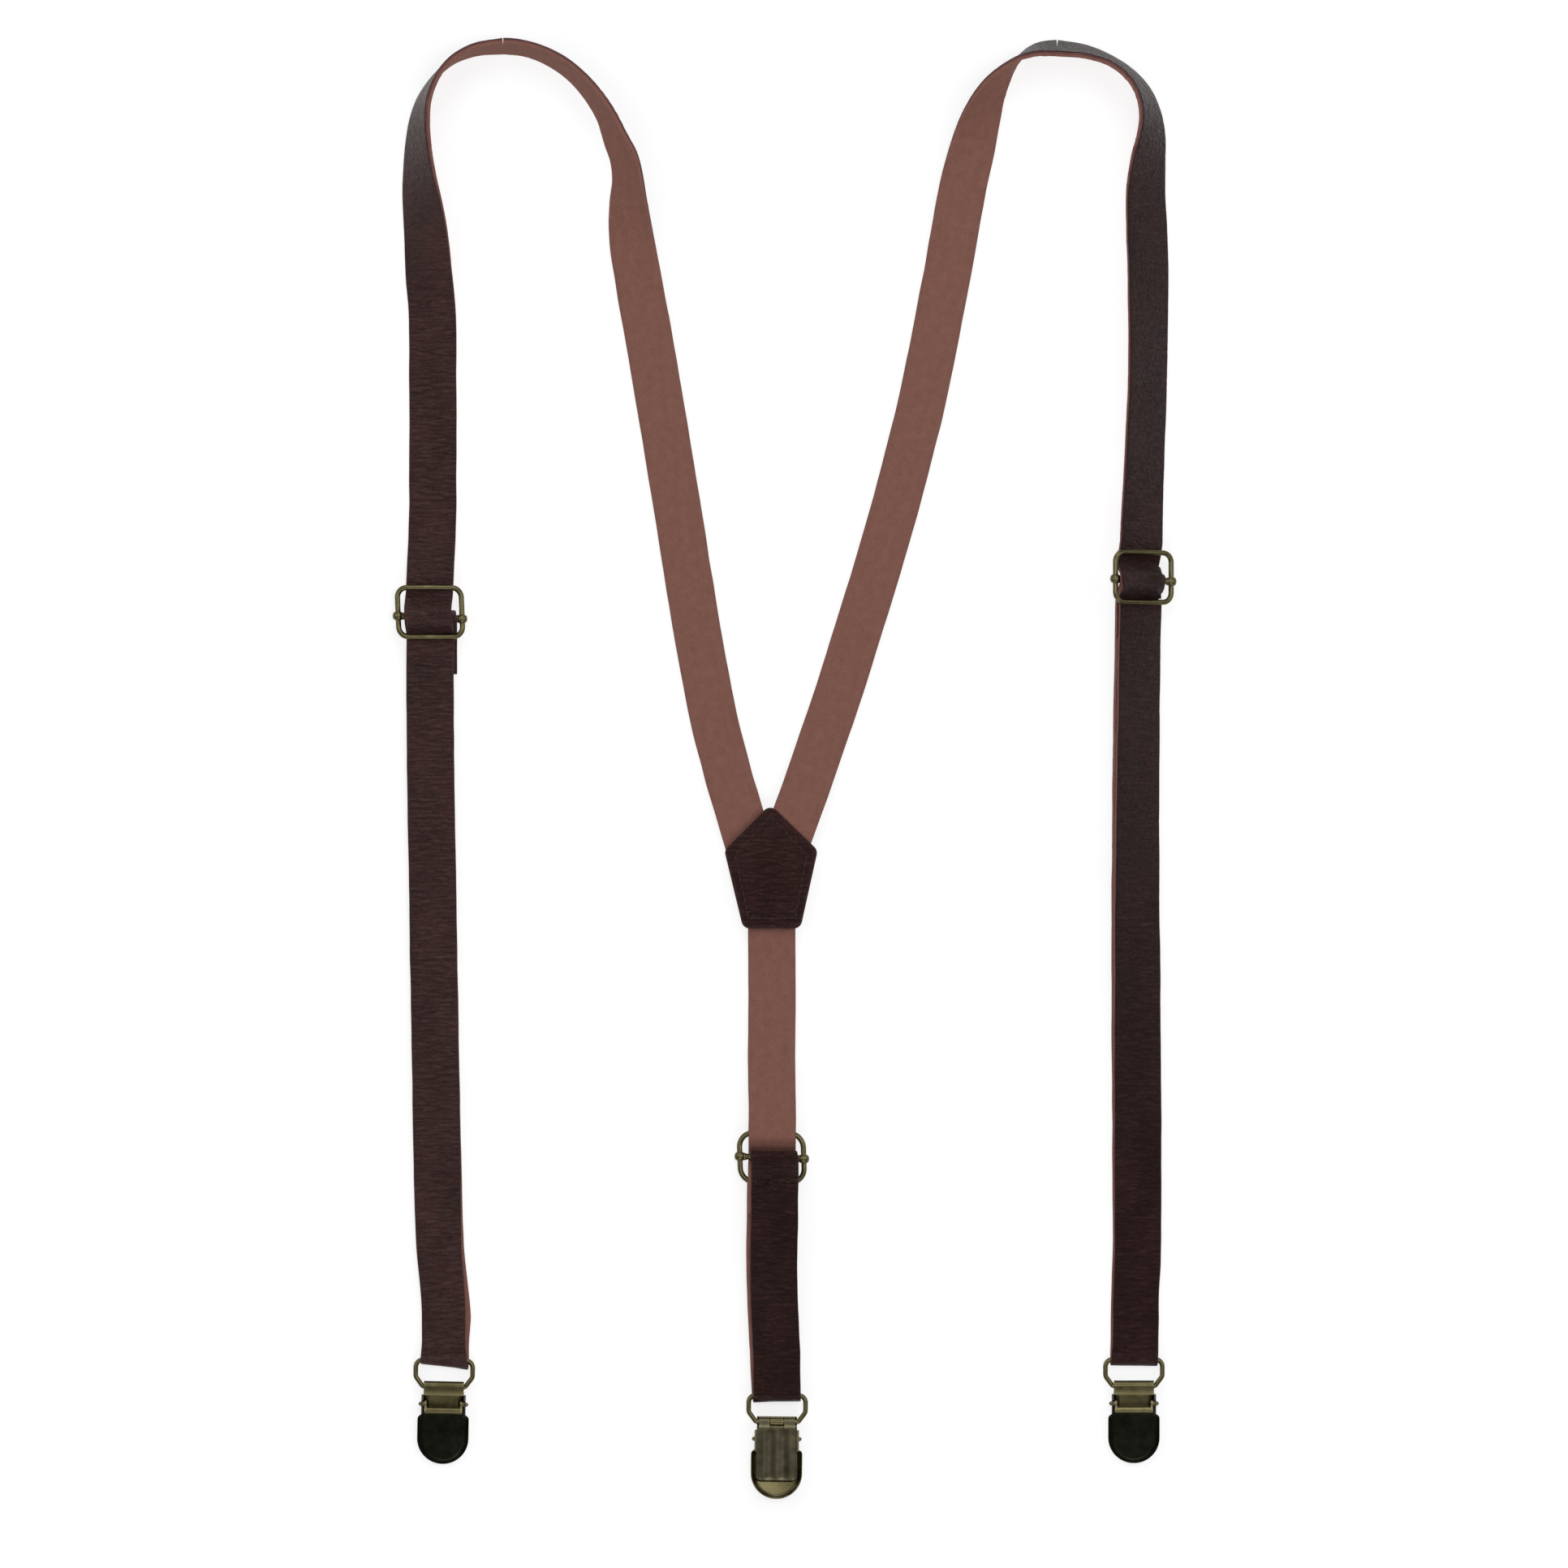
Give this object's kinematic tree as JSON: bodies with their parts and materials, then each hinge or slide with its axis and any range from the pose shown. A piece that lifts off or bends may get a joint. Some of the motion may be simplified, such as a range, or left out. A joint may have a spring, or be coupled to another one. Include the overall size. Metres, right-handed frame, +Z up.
{
  "type": "suspenders",
  "caption": "Y-back leather suspenders with wire slides and metal clip ends, laid flat; holds trousers up from the shoulders.",
  "frame": {"origin": "on the surface the suspenders lie on, under the centre of their bounding box", "axes": "+X across the pair to the part's right front strap, +Y along the straps towards the shoulder loops, +Z up from the surface"},
  "size_m": [0.2897, 0.5396, 0.0178],
  "materials": {
    "strap_leather": "dark brown grain leather, satin, with a matte lighter flesh side and reddish cut edges",
    "patch_leather": "dark brown grain leather, domed and stitched",
    "waxed_thread": "dark waxed thread",
    "antique_brass": "antique brass, satin, darkened in the recesses",
    "blackened_brass": "blackened antique brass, semi-gloss",
    "nylon_pad": "black moulded nylon"
  },
  "bodies": {
    "harness": {"left_shoulder_strap": "strap_leather", "left_front_strap": "strap_leather", "right_shoulder_strap": "strap_leather", "right_front_strap": "strap_leather", "back_strap": "strap_leather", "patch_front": "patch_leather", "patch_back": "patch_leather", "patch_stitching": "waxed_thread"},
    "left_slider": {"left_slider_bar": "antique_brass", "left_strap_bridge": "strap_leather", "left_sewn_loop": "strap_leather", "left_loop_stitching": "waxed_thread", "left_outer_layer": "strap_leather", "left_inner_layer": "strap_leather"},
    "left_frame": {"left_slider_frame": "antique_brass"},
    "left_strap_end": {"left_strap_fold": "strap_leather"},
    "left_ring": {"left_ring": "antique_brass"},
    "left_clip": {"left_clip_base": "antique_brass", "left_grip_pad": "nylon_pad"},
    "left_jaw": {"left_clip_jaw": "antique_brass"},
    "left_lever": {"left_clip_lever": "blackened_brass"},
    "right_slider": {"right_slider_bar": "antique_brass", "right_strap_bridge": "strap_leather", "right_sewn_loop": "strap_leather", "right_loop_stitching": "waxed_thread", "right_outer_layer": "strap_leather", "right_inner_layer": "strap_leather"},
    "right_frame": {"right_slider_frame": "antique_brass"},
    "right_strap_end": {"right_strap_fold": "strap_leather"},
    "right_ring": {"right_ring": "antique_brass"},
    "right_clip": {"right_clip_base": "antique_brass", "right_grip_pad": "nylon_pad"},
    "right_jaw": {"right_clip_jaw": "antique_brass"},
    "right_lever": {"right_clip_lever": "blackened_brass"},
    "back_slider": {"back_slider_bar": "antique_brass", "back_strap_bridge": "strap_leather", "back_sewn_loop": "strap_leather", "back_loop_stitching": "waxed_thread", "back_outer_layer": "strap_leather", "back_inner_layer": "strap_leather"},
    "back_frame": {"back_slider_frame": "antique_brass"},
    "back_strap_end": {"back_strap_fold": "strap_leather"},
    "back_ring": {"back_ring": "antique_brass"},
    "back_clip": {"back_clip_base": "antique_brass", "back_grip_pad": "nylon_pad"},
    "back_jaw": {"back_clip_jaw": "antique_brass"},
    "back_lever": {"back_clip_lever": "blackened_brass"}
  },
  "joints": [
    {"name": "left_slider_travel", "type": "slide", "parent": "harness", "child": "left_slider", "axis": [-0.0193, 0.9998, 0], "range_m": [-0.055, 0.055], "deforming": ["left_front_strap"]},
    {"name": "left_frame_play", "type": "slide", "parent": "left_slider", "child": "left_frame", "axis": [0, 1, 0], "range_m": [-0.0019, 0]},
    {"name": "left_end_travel", "type": "slide", "parent": "left_slider", "child": "left_strap_end", "axis": [-0.0193, 0.9998, 0], "range_m": [-0.0275, 0.0275], "deforming": ["left_outer_layer", "left_inner_layer"]},
    {"name": "left_ring_swing", "type": "hinge", "parent": "left_strap_end", "child": "left_ring", "pos_m": [-0.1258, -0.2191, 0.00235], "axis": [-0.9998, 0.0209, 0], "range_deg": [-80, 80]},
    {"name": "left_clip_swing", "type": "hinge", "parent": "left_ring", "child": "left_clip", "pos_m": [-0.12601, -0.2289, 0.00235], "axis": [0.9998, -0.0209, 0], "range_deg": [-70, 70]},
    {"name": "left_lever_lift", "type": "hinge", "parent": "left_clip", "child": "left_lever", "pos_m": [-0.12614, -0.2353, 0.00585], "axis": [-0.9998, 0.0209, 0], "range_deg": [0, 100]},
    {"name": "left_jaw_opening", "type": "hinge", "parent": "left_clip", "child": "left_jaw", "pos_m": [-0.12601, -0.2289, 0.00235], "axis": [-0.9998, 0.0209, 0], "range_deg": [0, 10]},
    {"name": "right_slider_travel", "type": "slide", "parent": "harness", "child": "right_slider", "axis": [0.0024, 1, 0], "range_m": [-0.055, 0.055], "deforming": ["right_front_strap"]},
    {"name": "right_frame_play", "type": "slide", "parent": "right_slider", "child": "right_frame", "axis": [0.0175, 0.9998, 0], "range_m": [-0.001, 0.0009]},
    {"name": "right_end_travel", "type": "slide", "parent": "right_slider", "child": "right_strap_end", "axis": [0.0024, 1, 0], "range_m": [-0.0275, 0.0275], "deforming": ["right_outer_layer", "right_inner_layer"]},
    {"name": "right_ring_swing", "type": "hinge", "parent": "right_strap_end", "child": "right_ring", "pos_m": [0.129, -0.2188, 0.00235], "axis": [-1, 0, 0], "range_deg": [-80, 80]},
    {"name": "right_clip_swing", "type": "hinge", "parent": "right_ring", "child": "right_clip", "pos_m": [0.129, -0.2286, 0.00235], "axis": [1, 0, 0], "range_deg": [-70, 70]},
    {"name": "right_lever_lift", "type": "hinge", "parent": "right_clip", "child": "right_lever", "pos_m": [0.129, -0.235, 0.00585], "axis": [-1, 0, 0], "range_deg": [0, 100]},
    {"name": "right_jaw_opening", "type": "hinge", "parent": "right_clip", "child": "right_jaw", "pos_m": [0.129, -0.2286, 0.00235], "axis": [-1, 0, 0], "range_deg": [0, 10]},
    {"name": "back_slider_travel", "type": "slide", "parent": "harness", "child": "back_slider", "axis": [-0.0228, 0.9997, 0], "range_m": [-0.03, 0.03], "deforming": ["back_strap"]},
    {"name": "back_frame_play", "type": "slide", "parent": "back_slider", "child": "back_frame", "axis": [0.0105, 0.9999, 0], "range_m": [0, 0.0019]},
    {"name": "back_end_travel", "type": "slide", "parent": "back_slider", "child": "back_strap_end", "axis": [-0.0228, 0.9997, 0], "range_m": [-0.015, 0.015], "deforming": ["back_outer_layer", "back_inner_layer"]},
    {"name": "back_ring_swing", "type": "hinge", "parent": "back_strap_end", "child": "back_ring", "pos_m": [-0.0028, -0.232, 0.005], "axis": [0.9999, -0.0105, 0], "range_deg": [-80, 80]},
    {"name": "back_clip_swing", "type": "hinge", "parent": "back_ring", "child": "back_clip", "pos_m": [-0.0029, -0.2418, 0.005], "axis": [-0.9999, 0.0105, 0], "range_deg": [-70, 70]},
    {"name": "back_lever_lift", "type": "hinge", "parent": "back_clip", "child": "back_lever", "pos_m": [-0.00297, -0.2482, 0.0015], "axis": [0.9999, -0.0105, 0], "range_deg": [0, 100]},
    {"name": "back_jaw_opening", "type": "hinge", "parent": "back_clip", "child": "back_jaw", "pos_m": [-0.0029, -0.2418, 0.005], "axis": [0.9999, -0.0105, 0], "range_deg": [0, 10]}
  ],
  "couplings": [
    {"joint": "left_end_travel", "follows": "left_slider_travel", "ratio": -0.5},
    {"joint": "left_jaw_opening", "follows": "left_lever_lift", "ratio": 0.1},
    {"joint": "right_end_travel", "follows": "right_slider_travel", "ratio": -0.5},
    {"joint": "right_jaw_opening", "follows": "right_lever_lift", "ratio": 0.1},
    {"joint": "back_end_travel", "follows": "back_slider_travel", "ratio": -0.5},
    {"joint": "back_jaw_opening", "follows": "back_lever_lift", "ratio": 0.1}
  ]
}
